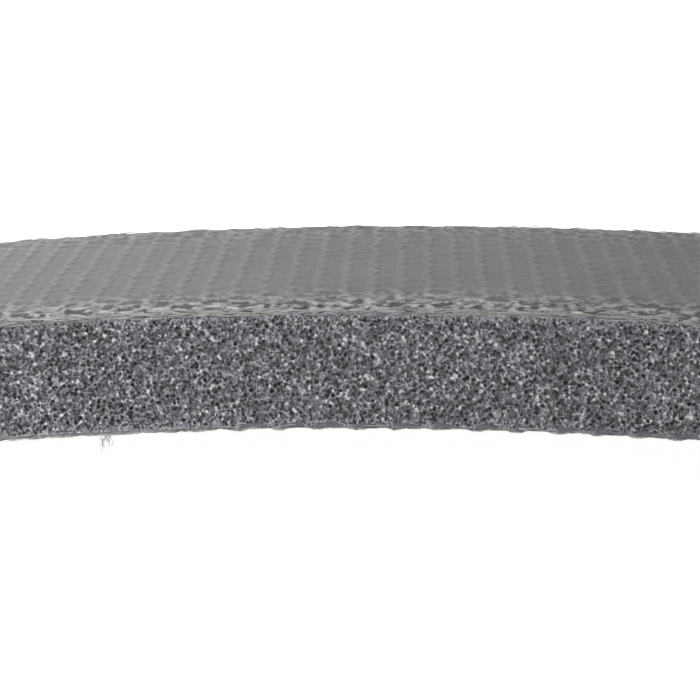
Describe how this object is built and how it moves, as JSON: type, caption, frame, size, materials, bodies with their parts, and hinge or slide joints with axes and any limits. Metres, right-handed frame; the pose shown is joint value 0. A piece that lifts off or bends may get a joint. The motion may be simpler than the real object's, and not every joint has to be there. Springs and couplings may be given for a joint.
{
  "type": "back protector",
  "caption": "Soft back protector insert: a shield-shaped foam slab with a tail tongue, curved along the spine, bare cut edges and mesh facings on both sides.",
  "frame": {"origin": "middle of the bottom of the bounding box, on the surface that the inner side rests on", "axes": "X along the spine with the tail at +X and the neck at -X, Y across the back, +Z away from the back"},
  "size_m": [0.4624, 0.26, 0.0241],
  "materials": {
    "foam": "charcoal grey open-cell foam, matt, with fine glinting cell walls",
    "knitted_mesh": "grey warp-knitted hexagonal mesh pressed into the foam skin",
    "bond_film": "dark smooth adhesive film"
  },
  "bodies": {
    "root": {"foam_core": "foam", "upper_mesh_facing": "knitted_mesh", "lower_mesh_facing": "knitted_mesh", "upper_bond_film": "bond_film", "lower_bond_film": "bond_film"}
  },
  "joints": []
}
